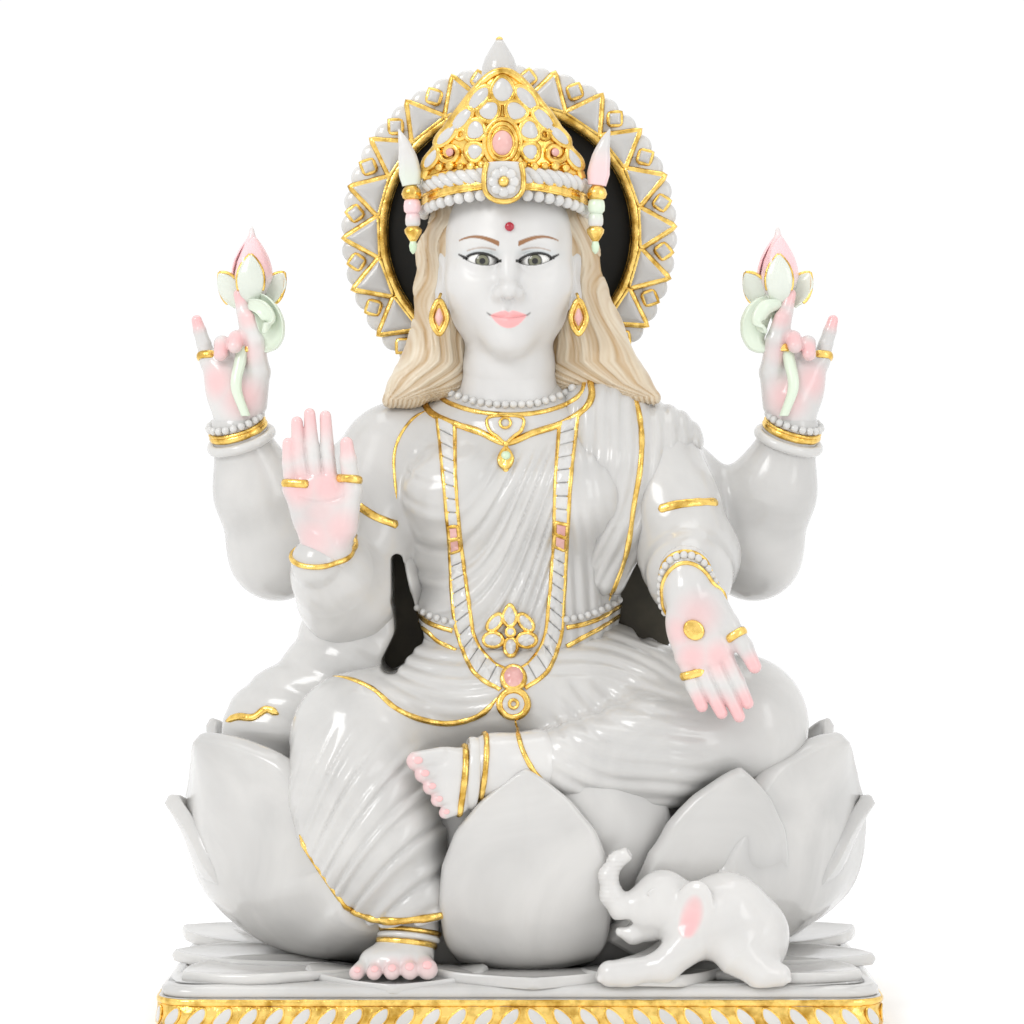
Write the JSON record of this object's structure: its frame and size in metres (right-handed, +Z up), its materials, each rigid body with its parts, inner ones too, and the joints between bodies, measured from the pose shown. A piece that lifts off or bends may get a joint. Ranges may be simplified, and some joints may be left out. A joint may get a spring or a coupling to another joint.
{
  "type": "statue",
  "caption": "White marble temple statue of a seated four-armed figure on an open lotus, with a black and white halo, gilt jewellery and a small elephant by its foot",
  "frame": {"origin": "centre of the plinth's flat underside", "axes": "+Z up, -Y the way the figure faces, +X towards the figure's left hand"},
  "size_m": [0.45, 0.2742, 0.61],
  "materials": {
    "marble": "polished white marble, smooth and softly glossy",
    "gilding": "gold leaf laid by hand, bright with a slightly hammered surface",
    "hair_tint": "marble carved in waves and tinted cream and tan",
    "black_lacquer": "marble disc painted gloss black",
    "web_shade": "stone painted dark olive so that it reads as a gap",
    "pearl_white": "glossy white beads of carved and polished stone",
    "pink_gem": "faceted pink stones set in gold",
    "green_gem": "small green drop set in gold",
    "red_enamel": "glossy red enamel dot",
    "pink_tint": "polished marble with a soft pink tint"
  },
  "bodies": {
    "root": {"anklets": "gilding", "armlets": "gilding", "belt": "gilding", "belt_flower": "gilding", "bindi": "red_enamel", "collar": "gilding", "crown_band": "gilding", "crown_body": "marble", "crown_finial": "gilding", "crown_flower": "pearl_white", "crown_pearls": "pearl_white", "crown_plate": "marble", "crown_rope": "pearl_white", "earrings": "gilding", "elephant_body": "marble", "elephant_ears": "marble", "elephant_head": "marble", "finger_rings": "gilding", "front_left_arm": "marble", "front_left_hand": "marble", "front_right_arm": "marble", "front_right_hand": "marble", "gold_bangles": "gilding", "ground_petals": "marble", "hair": "hair_tint", "halo_beads": "pearl_white", "halo_panel": "black_lacquer", "halo_rays": "marble", "halo_ring": "gilding", "head": "marble", "hips": "marble", "left_foot": "marble", "left_leg": "marble", "lotus_bowl": "marble", "lotus_buds": "pink_tint", "lotus_front_petal": "marble", "lotus_inner_petals": "marble", "lotus_outer_petals": "marble", "lotus_sepals": "marble", "lotus_stems": "marble", "mala": "gilding", "mala_gems": "pink_gem", "neck": "marble", "pendant": "green_gem", "plinth": "marble", "plinth_bed": "marble", "plinth_gold_lines": "gilding", "plinth_scallops": "gilding", "plumes": "gilding", "rear_left_arm": "marble", "rear_left_hand": "marble", "rear_right_arm": "marble", "rear_right_hand": "marble", "right_foot": "marble", "right_leg": "marble", "sari_end": "marble", "shoulder_drape": "marble", "torso": "marble", "waist_webs": "web_shade", "white_bangles": "pearl_white"}
  },
  "joints": []
}
